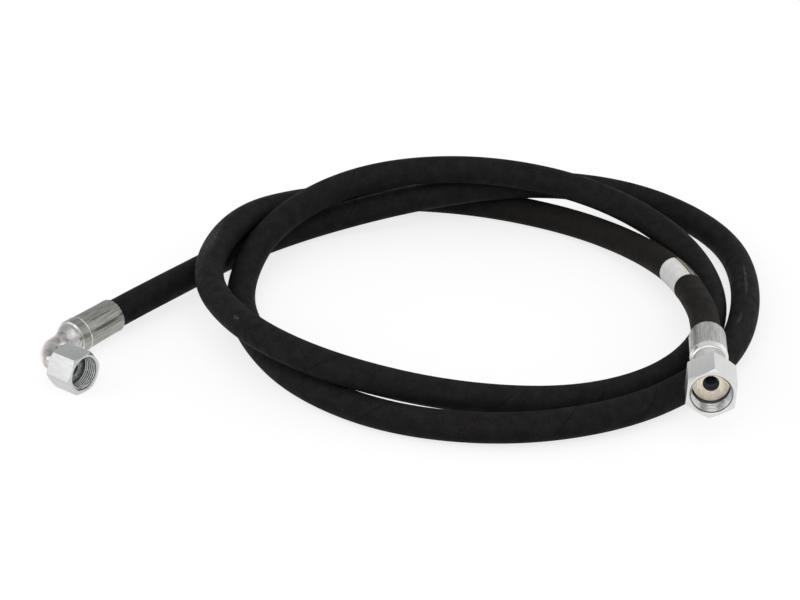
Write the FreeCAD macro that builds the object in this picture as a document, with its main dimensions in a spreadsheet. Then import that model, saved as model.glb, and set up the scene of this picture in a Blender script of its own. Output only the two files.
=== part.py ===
"""Hydraulic hose assembly: a half inch two-wire hose lying in loose loops on a flat surface.

One end has a straight swivel fitting, the other a swivel fitting bent through a right angle.
Millimetres, +Z up. The surface that the hose lies on is z = 0, and the origin is below the
centre of the box around the two fittings. Every fitting piece is turned about its own local Z,
which points from the hose towards the mouth of the nut; the local Y is as near to upwards as
it can be.
"""
import FreeCAD, Part
import math
import os
import re

import Sketcher
from FreeCAD import Placement, Rotation, Vector

SIZES = (
    ("hose_bore", 12.7, "bore of the hose"),
    ("inner_tube_wall", 1.6, "rubber tube that holds the fluid"),
    ("inner_braid_wall", 0.7, "first wire braid"),
    ("insulation_wall", 0.4, "rubber between the two braids"),
    ("outer_braid_wall", 0.7, "second wire braid"),
    ("cover_wall", 1.55, "outer rubber cover"),
    ("hose_insertion", 40, "length of hose inside a ferrule"),
    ("exit_run", 8, "straight hose behind a ferrule, up to the route's second point"),
    ("shoulder_width", 2.4, "shoulder of a stem, from the hose end to the ferrule's flange"),
    ("ferrule_wall", 2.6, "wall of a crimped ferrule over the hose"),
    ("ferrule_chamfer", 1, "chamfer at both ends of a ferrule"),
    ("ferrule_front", 9.5, "part of a ferrule in front of the crimping jaws"),
    ("crimp_step_width", 0.9, "groove where the crimped part ends"),
    ("crimp_step_depth", 0.4, "depth of that groove"),
    ("crimp_ridge_count", 8, "ridges left between the crimping jaws"),
    ("crimp_ridge_width", 1.8, "width of such a ridge"),
    ("crimp_ridge_height", 0.3, "height of such a ridge"),
    ("bite_count", 5, "rings inside a ferrule that grip the cover"),
    ("bite_margin", 5, "plain wall between the last of these rings and the hose end"),
    ("bite_relief_width", 4, "relief between two of these rings"),
    ("bite_relief_depth", 0.8, "depth of that relief"),
    ("lock_width", 3.6, "flange of a ferrule that drops into the lock groove of a nipple"),
    ("lock_radius", 8.5, "floor of the lock groove"),
    ("lock_clearance", 0.1, "play between the flange and its groove"),
    ("stem_start", 2, "free end of the stem, inside the rear rim of the ferrule"),
    ("stem_bore", 9.6, "fluid passage through a stem"),
    ("barb_count", 5, "barbs on a stem"),
    ("barb_margin", 3, "plain stem between the last barb and the hose end"),
    ("barb_depth", 0.6, "depth of a barb's valley"),
    ("shoulder_radius", 9.4, "shoulder between the hose end and the lock groove"),
    ("straight_neck_radius", 10.5, "neck of the straight nipple, under the nut"),
    ("straight_face_reach", 81.6, "rear rim of the ferrule to the sealing face"),
    ("straight_head_radius", 13.85, "head of the straight nipple"),
    ("straight_head_thickness", 6.6, "thickness of that head"),
    ("straight_face_bore", 11.5, "bore in the sealing face of the straight nipple"),
    ("straight_nut_flats", 34.9, "straight nut, across flats"),
    ("straight_nut_length", 28, "length of the straight nut"),
    ("straight_nut_reach", 96, "rear rim of the ferrule to the mouth of the straight nut"),
    ("straight_thread", 30.16, "major diameter of the thread, twelve threads to the inch"),
    ("elbow_nut_flats", 30, "elbow nut, across flats"),
    ("elbow_nut_length", 24, "length of the elbow nut"),
    ("elbow_thread", 25.4, "major diameter of the thread, fourteen threads to the inch"),
    ("elbow_corner_reach", 78.8, "rear rim of the ferrule to the corner of the elbow's two axes"),
    ("elbow_mouth_reach", 45.6, "that corner to the mouth of the elbow nut"),
    ("elbow_face_reach", 32.6, "that corner to the sealing face"),
    ("elbow_tube", 16, "outer diameter of the bent tube"),
    ("elbow_tube_bore", 12, "bore of the bent tube"),
    ("elbow_bend_radius", 18, "centreline radius of the bend"),
    ("elbow_socket", 6, "depth of tube inside its sockets"),
    ("elbow_braze_gap", 0.05, "gap around the tube in its sockets"),
    ("elbow_collar_radius", 12.2, "collar in front of the elbow's ferrule"),
    ("elbow_collar_width", 2.4, "cylindrical part of that collar"),
    ("elbow_collar_length", 8.5, "collar, from the ferrule to its small end"),
    ("elbow_collar_nose", 9, "radius of the collar's small end"),
    ("elbow_sleeve_radius", 9.3, "neck of the face sleeve, under the nut"),
    ("elbow_sleeve_overlap", 6, "length of tube that the face sleeve covers"),
    ("elbow_head_radius", 11.4, "head of the face sleeve"),
    ("elbow_head_thickness", 4.2, "thickness of that head"),
    ("face_edge", 0.5, "chamfer around a sealing face"),
    ("straight_nut_play", 0.35, "radial play of the straight nut on its neck"),
    ("straight_head_play", 1.4, "gap between the straight head's back and the inside of its nut"),
    ("elbow_nut_play", 0.06, "radial play of the elbow nut on its neck"),
    ("elbow_head_play", 0.3, "gap between the elbow head's back and the inside of its nut"),
    ("relief_depth", 0.3, "relief at the end of a thread, beyond its major radius"),
    ("relief_width", 2.4, "width of that relief in front of the sealing face"),
    ("mouth_chamfer", 0.7, "chamfer at the mouth of a nut"),
    ("chamfer_inset", 0.1, "where the end chamfers of a nut start, inside its flats"),
    ("chamfer_slope", 30, "slope of those chamfers"),
    ("straight_nut_roll", 2.5, "turn of the straight nut's top corner, clockwise from the mouth"),
    ("straight_nut_droop", 5, "tilt of the loose straight nut, with its mouth down"),
    ("elbow_nut_roll", 30, "turn of the elbow nut, so that it lies on a flat"),
    ("straight_rim_east", 241.4, "rear rim of the straight ferrule, along X"),
    ("straight_rim_north", 4.1, "the same, along Y"),
    ("straight_rim_height", 39.1, "the same, above the surface: the ferrule lies on the hose"),
    ("straight_heading", -95, "direction of the straight fitting, from +X towards +Y"),
    ("straight_climb", 6, "upward tilt of the straight fitting"),
    ("elbow_rim_east", -209.4, "rear rim of the elbow's ferrule, along X"),
    ("elbow_rim_north", 82.8, "the same, along Y"),
    ("elbow_heading", -127, "direction of the elbow's hose end, from +X towards +Y"),
    ("label_start", 138.4, "hose end to the near edge of the label, along the hose"),
    ("label_length", 40, "label, along the hose"),
    ("label_thickness", 0.25, "label and film"),
    ("label_edge_angle", 6, "top of the hose round to the label's straight edge"),
    ("label_wrap_angle", 230, "part of the hose's girth that the label covers"),
)

DERIVED = (
    ("braid_start_radius", "hose_bore / 2 + inner_tube_wall"),
    ("insulation_start_radius", "braid_start_radius + inner_braid_wall"),
    ("outer_braid_start_radius", "insulation_start_radius + insulation_wall"),
    ("cover_start_radius", "outer_braid_start_radius + outer_braid_wall"),
    ("hose_radius", "cover_start_radius + cover_wall"),
    ("ferrule_radius", "hose_radius + ferrule_wall"),
    ("lock_start", "hose_insertion + shoulder_width"),
    ("ferrule_length", "lock_start + lock_width"),
    ("crimp_length", "ferrule_length - ferrule_front"),
    ("bite_pitch", "(hose_insertion - bite_margin) / bite_count"),
    ("barb_pitch", "(hose_insertion - stem_start - barb_margin) / barb_count"),
    ("straight_nut_rear", "straight_nut_reach - straight_nut_length"),
    ("straight_head_rear", "straight_face_reach - straight_head_thickness"),
    ("straight_nut_shoulder", "straight_head_rear - straight_head_play - straight_nut_rear"),
    ("elbow_nut_rear", "elbow_mouth_reach - elbow_nut_length"),
    ("elbow_rim_height", "elbow_nut_flats / 2"),
    ("elbow_collar_end", "ferrule_length + elbow_collar_length"),
    ("elbow_tube_start", "elbow_collar_end - elbow_socket"),
    ("elbow_bend_start", "elbow_corner_reach - elbow_bend_radius"),
    ("elbow_head_rear", "elbow_face_reach - elbow_head_thickness"),
    ("elbow_nut_shoulder", "elbow_head_rear - elbow_head_play - elbow_nut_rear"),
    ("elbow_sleeve_start", "elbow_bend_radius + elbow_head_play"),
    ("elbow_tube_end", "elbow_sleeve_start + elbow_sleeve_overlap"),
)

# The free points of the hose's centreline, from the straight fitting to the elbow: east,
# north and the height of the hose's underside above the surface. Where the hose passes over
# itself, it rises and falls in long low humps.
ROUTE = (
    (244, 65, 23),
    (230, 159, 9),
    (176.5, 240.5, 0),
    (97, 284.5, 0),
    (14, 301, 0),
    (-66, 272, 11),
    (-121.5, 204.5, 26.6),
    (-143, 114, 22.5),
    (-108, 27, 26),
    (-40, -39, 27),
    (55, -44, 4),
    (151, -43, 0),
    (225.5, 3.5, 0),
    (264.5, 97, 0),
    (246, 190, 12),
    (175, 245, 33),
    (77, 265, 45.4),
    (-22, 265.5, 36),
    (-93, 210, 20),
    (-117, 134, 0),
    (-101, 52, 1),
    (-60, -19, 0),
    (11, -70, 0),
    (105, -84, 1),
    (197, -53, 2),
    (264.5, 22, 2),
    (291, 126, 2),
    (282.5, 222.5, 1),
    (216.5, 281.5, 11),
    (124, 276.5, 25.7),
    (34, 268, 17),
    (-55, 252, 0),
    (-120, 198, 0.5),
    (-161, 135, 7),
)

ARC_SHARE = 0.45  # of the shorter run beside a point, taken by the arc on each side

# A sketch's corners start on this circle, and its constraints then draw them to their places.
DRAFT_CENTRE = 20
DRAFT_RADIUS = 8

doc = FreeCAD.newDocument("hose_assembly")


class Size:
    """The numbers of the sheet and those worked out from them, by name."""


def bound(text):
    """Write a formula with the objects that hold each named value."""
    driving = {name for name, _, _ in SIZES}
    derived = {name for name, _ in DERIVED}

    def place(match):
        word = match.group()
        if word in driving:
            return f"Sizes.{word}"
        if word in derived:
            return f"Derived.{word}"
        return word

    return re.sub(r"[a-z_]+", place, text)


def make_sizes():
    """Fill the sheet, bind the derived values to it and return all of them."""
    sheet = doc.addObject("Spreadsheet::Sheet", "Sizes")
    for row, (name, value, note) in enumerate(SIZES, start=1):
        sheet.set(f"A{row}", note)
        sheet.set(f"B{row}", str(value))
        sheet.setAlias(f"B{row}", name)
    doc.recompute()
    derived = doc.addObject("App::VarSet", "Derived")
    for name, formula in DERIVED:
        derived.addProperty("App::PropertyFloat", name, "Sizes", formula)
        derived.setExpression(name, bound(formula))
        doc.recompute()
    size = Size()
    for name, _, _ in SIZES:
        setattr(size, name, float(sheet.get(name)))
    for name, _ in DERIVED:
        setattr(size, name, getattr(derived, name))
    return size


def plane_of(body, role):
    """One of a body's own origin planes."""
    return next(part for part in body.Origin.OriginFeatures if part.Role == role)


def outline(body, name, role, corners):
    """Sketch a closed outline whose corners are pairs of formulas."""
    sketch = body.newObject("Sketcher::SketchObject", name)
    sketch.AttachmentSupport = [(plane_of(body, role), "")]
    sketch.MapMode = "FlatFace"
    count = len(corners)
    guesses = []
    for index in range(count):
        turn = 2 * math.pi * index / count
        guesses.append(Vector(DRAFT_CENTRE + DRAFT_RADIUS * math.cos(turn),
                              DRAFT_CENTRE + DRAFT_RADIUS * math.sin(turn), 0))
    for index in range(count):
        sketch.addGeometry(Part.LineSegment(guesses[index], guesses[(index + 1) % count]), False)
    for index in range(count):
        following = (index + 1) % count
        sketch.addConstraint(Sketcher.Constraint("Coincident", index, 2, following, 1))
    for index, corner in enumerate(corners):
        for kind, formula, guess in zip(("DistanceX", "DistanceY"), corner, guesses[index]):
            number = sketch.addConstraint(Sketcher.Constraint(kind, -1, 1, index, 1, guess))
            sketch.setExpression(f"Constraints[{number}]", bound(formula))
    doc.recompute()
    return sketch


def turned(body, kind, name, corners):
    """Turn an outline of (radius, height) corners about the body's Z axis."""
    sketch = outline(body, name + "_outline", "XZ_Plane", corners)
    feature = body.newObject(kind, name)
    feature.Profile = sketch
    feature.ReferenceAxis = (sketch, ["V_Axis"])
    feature.Angle = 360
    body.Tip = feature
    doc.recompute()
    return feature


def new_body(label):
    body = doc.addObject("PartDesign::Body", label)
    body.Label = label
    return body


def lock_groove():
    """Outer corners of a nipple from its shoulder to the floor of its lock groove."""
    return [
        ("shoulder_radius", "hose_insertion + lock_clearance"),
        ("shoulder_radius", "lock_start - lock_clearance"),
        ("lock_radius", "lock_start - lock_clearance"),
        ("lock_radius", "ferrule_length"),
    ]


def barbed_stem():
    """Outer corners of a stem, from its free end up to the shoulder."""
    corners = [("hose_bore / 2 - barb_depth", "stem_start")]
    for barb in range(int(size.barb_count)):
        foot = f"stem_start + barb_pitch * {barb}"
        corners.append(("hose_bore / 2", f"{foot} + barb_pitch * 0.6"))
        corners.append(("hose_bore / 2", f"{foot} + barb_pitch * 0.8"))
        corners.append(("hose_bore / 2 - barb_depth", f"{foot} + barb_pitch * 0.8"))
    corners.append(("hose_bore / 2 - barb_depth", "hose_insertion + lock_clearance"))
    return corners


def make_ferrule(label, placement):
    """A crimped ferrule: bite rings inside, jaw ridges outside and a flange at its front."""
    body = new_body(label)
    outside = [
        ("hose_radius", "0"),
        ("ferrule_radius - ferrule_chamfer", "0"),
        ("ferrule_radius", "ferrule_chamfer"),
        ("ferrule_radius", "crimp_length"),
        ("ferrule_radius - crimp_step_depth", "crimp_length + crimp_step_width / 2"),
        ("ferrule_radius", "crimp_length + crimp_step_width"),
        ("ferrule_radius", "ferrule_length - ferrule_chamfer"),
        ("ferrule_radius - ferrule_chamfer", "ferrule_length"),
        ("lock_radius + lock_clearance", "ferrule_length"),
        ("lock_radius + lock_clearance", "lock_start"),
        ("hose_radius", "lock_start"),
    ]
    turned(body, "PartDesign::Revolution", label + "_wall", outside)
    for ring in range(int(size.bite_count)):
        low = f"bite_pitch * ({ring} + 1) - bite_relief_width"
        high = f"bite_pitch * ({ring} + 1)"
        turned(body, "PartDesign::Groove", f"{label}_relief_{ring + 1}", [
            ("hose_radius - bite_relief_depth", low),
            ("hose_radius + bite_relief_depth", low),
            ("hose_radius + bite_relief_depth", high),
            ("hose_radius - bite_relief_depth", high),
        ])
    sketch = outline(body, label + "_ridge_outline", "XY_Plane", [
        ("ferrule_radius - ferrule_wall / 2", "-crimp_ridge_width / 2"),
        ("ferrule_radius", "-crimp_ridge_width / 2"),
        ("ferrule_radius + crimp_ridge_height", "-crimp_ridge_width / 6"),
        ("ferrule_radius + crimp_ridge_height", "crimp_ridge_width / 6"),
        ("ferrule_radius", "crimp_ridge_width / 2"),
        ("ferrule_radius - ferrule_wall / 2", "crimp_ridge_width / 2"),
    ])
    ridge = body.newObject("PartDesign::Pad", label + "_ridge")
    ridge.Profile = sketch
    ridge.setExpression("Length", bound("crimp_length"))
    doc.recompute()
    ridges = body.newObject("PartDesign::PolarPattern", label + "_ridges")
    ridges.Originals = [ridge]
    ridges.Axis = (sketch, ["N_Axis"])
    ridges.Angle = 360
    ridges.setExpression("Occurrences", bound("crimp_ridge_count"))
    body.Tip = ridges
    body.Placement = placement
    doc.recompute()
    return body


def make_straight_nipple(label, placement):
    """The straight nipple: barbed stem, lock groove, neck and a flat-faced head."""
    body = new_body(label)
    corners = barbed_stem() + lock_groove() + [
        ("straight_neck_radius", "ferrule_length"),
        ("straight_neck_radius", "straight_head_rear"),
        ("straight_head_radius", "straight_head_rear"),
        ("straight_head_radius", "straight_face_reach - face_edge"),
        ("straight_head_radius - face_edge", "straight_face_reach"),
        ("straight_face_bore / 2", "straight_face_reach"),
        ("straight_face_bore / 2", "straight_head_rear"),
        ("stem_bore / 2", "straight_head_rear - (straight_face_bore - stem_bore)"),
        ("stem_bore / 2", "stem_start"),
    ]
    turned(body, "PartDesign::Revolution", label + "_turning", corners)
    body.Placement = placement
    return body


def make_elbow_tail(label, placement):
    """The elbow's hose end: barbed stem, lock groove and a collar with the tube's socket."""
    body = new_body(label)
    socket = "elbow_tube / 2 + elbow_braze_gap"
    corners = barbed_stem() + lock_groove() + [
        ("elbow_collar_radius", "ferrule_length"),
        ("elbow_collar_radius", "ferrule_length + elbow_collar_width"),
        ("elbow_collar_nose", "elbow_collar_end"),
        (socket, "elbow_collar_end"),
        (socket, "elbow_tube_start"),
        ("stem_bore / 2", "elbow_tube_start"),
        ("stem_bore / 2", "stem_start"),
    ]
    turned(body, "PartDesign::Revolution", label + "_turning", corners)
    body.Placement = placement
    return body


def make_face_sleeve(label, placement):
    """The sleeve on the bent tube's far end, with the elbow's flat sealing face."""
    body = new_body(label)
    socket = "elbow_tube / 2 + elbow_braze_gap"
    corners = [
        (socket, "elbow_sleeve_start"),
        ("elbow_sleeve_radius", "elbow_sleeve_start"),
        ("elbow_sleeve_radius", "elbow_head_rear"),
        ("elbow_head_radius", "elbow_head_rear"),
        ("elbow_head_radius", "elbow_face_reach - face_edge"),
        ("elbow_head_radius - face_edge", "elbow_face_reach"),
        ("elbow_tube_bore / 2", "elbow_face_reach"),
        ("elbow_tube_bore / 2", "elbow_tube_end"),
        (socket, "elbow_tube_end"),
    ]
    turned(body, "PartDesign::Revolution", label + "_turning", corners)
    body.Placement = placement
    return body


def make_bent_tube(label, placement):
    """A steel tube bent through a right angle in the local XZ plane, from Z towards X."""
    body = new_body(label)
    path = body.newObject("Sketcher::SketchObject", label + "_path")
    path.AttachmentSupport = [(plane_of(body, "XZ_Plane"), "")]
    path.MapMode = "FlatFace"
    start = size.elbow_tube_start
    bend = size.elbow_bend_start
    corner = size.elbow_corner_reach
    radius = size.elbow_bend_radius
    end = size.elbow_tube_end
    path.addGeometry(Part.LineSegment(Vector(0, start, 0), Vector(0, bend, 0)), False)
    turn = Part.Circle(Vector(radius, bend, 0), Vector(0, 0, 1), radius)
    path.addGeometry(Part.ArcOfCircle(turn, math.pi / 2, math.pi), False)
    path.addGeometry(Part.LineSegment(Vector(radius, corner, 0), Vector(end, corner, 0)), False)
    constraints = [
        ("PointOnObject", (0, 1, -2), None),
        ("Vertical", (0,), None),
        ("Tangent", (0, 2, 1, 2), None),
        ("Tangent", (1, 1, 2, 1), None),
        ("Horizontal", (2,), None),
        ("DistanceY", (-1, 1, 0, 1), "elbow_tube_start"),
        ("DistanceY", (-1, 1, 2, 2), "elbow_corner_reach"),
        ("DistanceX", (-1, 1, 2, 2), "elbow_tube_end"),
        ("Radius", (1,), "elbow_bend_radius"),
    ]
    guesses = {
        "elbow_tube_start": start,
        "elbow_corner_reach": corner,
        "elbow_tube_end": end,
        "elbow_bend_radius": radius,
    }
    for kind, elements, formula in constraints:
        if formula is None:
            path.addConstraint(Sketcher.Constraint(kind, *elements))
        else:
            number = path.addConstraint(Sketcher.Constraint(kind, *elements, guesses[formula]))
            path.setExpression(f"Constraints[{number}]", bound(formula))
    doc.recompute()
    section = body.newObject("Sketcher::SketchObject", label + "_section")
    section.AttachmentSupport = [(plane_of(body, "XY_Plane"), "")]
    section.MapMode = "FlatFace"
    section.setExpression("AttachmentOffset.Base.z", bound("elbow_tube_start"))
    for formula, guess in (("elbow_tube / 2", size.elbow_tube / 2),
                           ("elbow_tube_bore / 2", size.elbow_tube_bore / 2)):
        circle = section.addGeometry(Part.Circle(Vector(0, 0, 0), Vector(0, 0, 1), guess), False)
        section.addConstraint(Sketcher.Constraint("Coincident", circle, 3, -1, 1))
        number = section.addConstraint(Sketcher.Constraint("Radius", circle, guess))
        section.setExpression(f"Constraints[{number}]", bound(formula))
    doc.recompute()
    pipe = body.newObject("PartDesign::AdditivePipe", label + "_pipe")
    pipe.Profile = section
    pipe.Spine = (path, ["Edge1", "Edge2", "Edge3"])
    body.Tip = pipe
    body.Placement = placement
    doc.recompute()
    return body


def make_nut(label, placement, flats, length, thread, bore, shoulder, face, roll):
    """A hexagonal swivel nut, from its rear at Z = 0 to its mouth.

    bore is the radius of its rear hole, shoulder the height of its inner wall and face the
    height of the sealing face that it draws up.
    """
    body = new_body(label)
    corner = f"({flats} / 2 / cos(30 deg))"
    hexagon = []
    for side in range(6):
        angle = f"(90 + 60 * {side} - {roll}) * 1 deg"
        hexagon.append((f"{corner} * cos({angle})", f"{corner} * sin({angle})"))
    pad = body.newObject("PartDesign::Pad", label + "_hexagon")
    pad.Profile = outline(body, label + "_hexagon_outline", "XY_Plane", hexagon)
    pad.setExpression("Length", bound(length))
    body.Tip = pad
    doc.recompute()
    inside = f"({flats} / 2 - chamfer_inset)"
    outside = f"({corner} + chamfer_inset)"
    drop = f"(({outside} - {inside}) * tan(chamfer_slope * 1 deg))"
    turned(body, "PartDesign::Groove", label + "_front_chamfer", [
        (inside, length),
        (outside, f"{length} - {drop}"),
        (outside, length),
    ])
    turned(body, "PartDesign::Groove", label + "_rear_chamfer", [
        (inside, "0"),
        (outside, drop),
        (outside, "0"),
    ])
    turned(body, "PartDesign::Groove", label + "_bore", [
        ("0", "0"),
        (bore, "0"),
        (bore, shoulder),
        (f"{thread} / 2 + relief_depth", shoulder),
        (f"{thread} / 2 + relief_depth", f"{face} + relief_width"),
        (f"{thread} / 2", f"{face} + relief_width"),
        (f"{thread} / 2", f"{length} - mouth_chamfer"),
        (f"{thread} / 2 + mouth_chamfer", length),
        ("0", length),
    ])
    body.Placement = placement
    return body


def aimed(position, axis):
    """A placement whose Z is the axis and whose Y is as near to upwards as it can be."""
    return Placement(position, Rotation(Vector(), Vector(0, 0, 1), axis, "ZYX"))


def direction(heading, climb):
    """The unit vector of a heading and a climb in degrees."""
    flat = math.cos(math.radians(climb))
    return Vector(flat * math.cos(math.radians(heading)), flat * math.sin(math.radians(heading)),
                  math.sin(math.radians(climb)))


def hose_points():
    """The route of the whole centreline, from one hose end to the other."""
    points = [straight_rim + straight_axis * size.hose_insertion,
              straight_rim - straight_axis * size.exit_run]
    for east, north, lift in ROUTE:
        points.append(Vector(east, north, size.hose_radius + lift))
    points.append(elbow_rim - elbow_axis * size.exit_run)
    points.append(elbow_rim + elbow_axis * size.hose_insertion)
    return points


def rounded_path(points):
    """Straight runs joined by tangent arcs, each as large as its two runs allow."""
    edges = []
    radii = []
    last = points[0]
    for before, point, after in zip(points, points[1:], points[2:]):
        arriving = (point - before).normalize()
        leaving = (after - point).normalize()
        trim = ARC_SHARE * min((point - before).Length, (after - point).Length)
        half_turn = arriving.getAngle(leaving) / 2
        radius = trim / math.tan(half_turn)
        inwards = (leaving - arriving).normalize()
        middle = point + inwards * (radius / math.cos(half_turn) - radius)
        start = point - arriving * trim
        end = point + leaving * trim
        edges.append(Part.LineSegment(last, start).toShape())
        edges.append(Part.Arc(start, middle, end).toShape())
        radii.append(radius)
        last = end
    edges.append(Part.LineSegment(last, points[-1]).toShape())
    return edges, radii


def ring_face(centre, axis, inner, outer):
    """A flat ring across the hose."""
    wires = [Part.Wire(Part.Circle(centre, axis, radius).toShape()) for radius in (outer, inner)]
    return Part.makeFace(wires, "Part::FaceMakerBullseye")


def hose_layer(label, inner, outer):
    """One layer of the hose, swept along the whole path."""
    edges, _ = hose_path
    points = hose_points()
    face = ring_face(points[0], points[1] - points[0], inner, outer)
    layer = doc.addObject("Part::Feature", label)
    layer.Label = label
    layer.Shape = Part.Wire(edges).makePipe(face)
    layer.Placement = Placement()
    length = sum(edge.Length for edge in edges)
    expected = math.pi * (outer ** 2 - inner ** 2) * length
    print(f"{label}: volume {layer.Shape.Volume:.0f}, section times length {expected:.0f}")
    return layer


def stretch_of_path(start, end):
    """The edges that the hose follows between two distances along it."""
    edges, _ = hose_path
    stretch = []
    travelled = 0
    for edge in edges:
        low = max(start - travelled, 0)
        high = min(end - travelled, edge.Length)
        if low < high:
            places = (low, (low + high) / 2, high)
            ends = [edge.valueAt(edge.getParameterByLength(place)) for place in places]
            if isinstance(edge.Curve, Part.Line):
                stretch.append(Part.LineSegment(ends[0], ends[2]).toShape())
            else:
                stretch.append(Part.Arc(*ends).toShape())
        travelled += edge.Length
    return stretch


def label_piece(label, turn_start, turn_end):
    """A band around part of the hose's girth, turned in degrees from its top."""
    stretch = stretch_of_path(size.label_start, size.label_start + size.label_length)
    centre = stretch[0].valueAt(stretch[0].FirstParameter)
    axis = stretch[0].tangentAt(stretch[0].FirstParameter)
    upwards = (Vector(0, 0, 1) - axis * axis.z).normalize()
    inner = size.hose_radius
    outer = inner + size.label_thickness

    def at(radius, turn):
        return centre + Rotation(axis, turn).multVec(upwards) * radius

    middle = (turn_start + turn_end) / 2
    wire = Part.Wire([
        Part.Arc(at(inner, turn_start), at(inner, middle), at(inner, turn_end)).toShape(),
        Part.LineSegment(at(inner, turn_end), at(outer, turn_end)).toShape(),
        Part.Arc(at(outer, turn_end), at(outer, middle), at(outer, turn_start)).toShape(),
        Part.LineSegment(at(outer, turn_start), at(inner, turn_start)).toShape(),
    ])
    piece = doc.addObject("Part::Feature", label)
    piece.Label = label
    piece.Shape = Part.Wire(stretch).makePipe(Part.Face(wire))
    piece.Placement = Placement()
    return piece


size = make_sizes()
straight_axis = direction(size.straight_heading, size.straight_climb)
straight_rim = Vector(size.straight_rim_east, size.straight_rim_north, size.straight_rim_height)
elbow_axis = direction(size.elbow_heading, 0)
elbow_rim = Vector(size.elbow_rim_east, size.elbow_rim_north, size.elbow_rim_height)
elbow_mouth_axis = direction(size.elbow_heading + 90, 0)
elbow_corner = elbow_rim + elbow_axis * size.elbow_corner_reach

# The straight nut hangs tilted on its neck, about the middle of the bore that holds it there.
straight_nut_axis = direction(size.straight_heading, size.straight_climb - size.straight_nut_droop)
straight_nut_grip = size.straight_nut_shoulder / 2
straight_nut_foot = (straight_rim + straight_axis * (size.straight_nut_rear + straight_nut_grip)
                     - straight_nut_axis * straight_nut_grip)
straight_place = aimed(straight_rim, straight_axis)
elbow_place = aimed(elbow_rim, elbow_axis)
hose_path = rounded_path(hose_points())

pieces = [
    make_straight_nipple("straight_nipple", straight_place),
    make_ferrule("straight_ferrule", straight_place),
    make_nut(
        "straight_swivel_nut",
        aimed(straight_nut_foot, straight_nut_axis),
        "straight_nut_flats",
        "straight_nut_length",
        "straight_thread",
        "straight_neck_radius + straight_nut_play",
        "straight_nut_shoulder",
        "(straight_face_reach - straight_nut_rear)",
        "straight_nut_roll",
    ),
    make_elbow_tail("elbow_hose_tail", elbow_place),
    make_ferrule("elbow_ferrule", elbow_place),
    make_bent_tube("elbow_bent_tube", elbow_place),
    make_face_sleeve("elbow_face_sleeve", aimed(elbow_corner, elbow_mouth_axis)),
    make_nut(
        "elbow_swivel_nut",
        aimed(elbow_corner + elbow_mouth_axis * size.elbow_nut_rear, elbow_mouth_axis),
        "elbow_nut_flats",
        "elbow_nut_length",
        "elbow_thread",
        "elbow_sleeve_radius + elbow_nut_play",
        "elbow_nut_shoulder",
        "(elbow_face_reach - elbow_nut_rear)",
        "elbow_nut_roll",
    ),
    hose_layer("inner_tube", size.hose_bore / 2, size.braid_start_radius),
    hose_layer("inner_wire_braid", size.braid_start_radius, size.insulation_start_radius),
    hose_layer("braid_insulation", size.insulation_start_radius, size.outer_braid_start_radius),
    hose_layer("outer_wire_braid", size.outer_braid_start_radius, size.cover_start_radius),
    hose_layer("outer_cover", size.cover_start_radius, size.hose_radius),
    label_piece("marker_label", size.label_edge_angle - size.label_wrap_angle,
                size.label_edge_angle),
    label_piece("label_film", size.label_edge_angle,
                size.label_edge_angle + 360 - size.label_wrap_angle),
]
doc.recompute()

for item in doc.Objects:
    if "Invalid" in item.State or "Error" in item.State:
        raise RuntimeError(f"{item.Label} is {item.State}")
for piece in pieces:
    if piece.Shape.isNull() or not piece.Shape.isValid():
        raise RuntimeError(f"{piece.Label} has no valid shape")

print("arc radii:", [round(radius) for radius in hose_path[1]])
print("hose length:", round(sum(edge.Length for edge in hose_path[0])))
os.makedirs("parts", exist_ok=True)
for piece in pieces:
    piece.Shape.exportStep(f"parts/{piece.Label}.step")
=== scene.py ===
"""Hydraulic hose assembly: a half inch two-wire hose in loose loops with its two fittings.

Metres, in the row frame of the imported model. The hose, its label, the ferrules, the nuts and a
fillet of braze are modelled here. The straight nipple and the elbow's hose tail, bent tube and
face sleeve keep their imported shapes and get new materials.
"""
import math

import bpy
from mathutils import Matrix, Vector


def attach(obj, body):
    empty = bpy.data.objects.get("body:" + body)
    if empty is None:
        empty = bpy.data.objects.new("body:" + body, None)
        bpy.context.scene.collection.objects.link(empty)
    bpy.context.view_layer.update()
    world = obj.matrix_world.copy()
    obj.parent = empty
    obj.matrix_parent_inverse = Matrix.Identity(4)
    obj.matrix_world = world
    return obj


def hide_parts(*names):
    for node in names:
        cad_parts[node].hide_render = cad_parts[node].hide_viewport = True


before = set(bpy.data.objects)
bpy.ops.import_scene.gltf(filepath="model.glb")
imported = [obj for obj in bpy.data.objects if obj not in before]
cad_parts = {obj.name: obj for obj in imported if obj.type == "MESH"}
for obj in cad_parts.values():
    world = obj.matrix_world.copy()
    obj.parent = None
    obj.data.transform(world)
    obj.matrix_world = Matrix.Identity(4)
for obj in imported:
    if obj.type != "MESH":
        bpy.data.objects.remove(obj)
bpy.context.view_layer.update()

# sizes of the hose and its label
HOSE_RADIUS = 0.0113
HOSE_INSERTION = 0.040
EXIT_RUN = 0.008
LABEL_START = 0.1384
LABEL_LENGTH = 0.040
LABEL_THICKNESS = 0.00025
LABEL_EDGE = math.radians(6)
LABEL_WRAP = math.radians(230)

# sizes of the ferrules, from their rear rims
FERRULE_LENGTH = 0.046
FERRULE_RADIUS = 0.0139
CRIMP_END = 0.0365
BEAD_WIDTH = 0.0012

# reaches along the fittings: from a ferrule's rear rim, or from the elbow's corner to its mouth
STRAIGHT_NUT_REAR = 0.068
STRAIGHT_FACE_REACH = 0.0816
ELBOW_CORNER_REACH = 0.0788
ELBOW_NUT_REAR = 0.0216
ELBOW_FACE_REACH = 0.0326

# Depth of a sixty degree thread, as a share of its pitch.
THREAD_DEPTH = 0.5413

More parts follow.
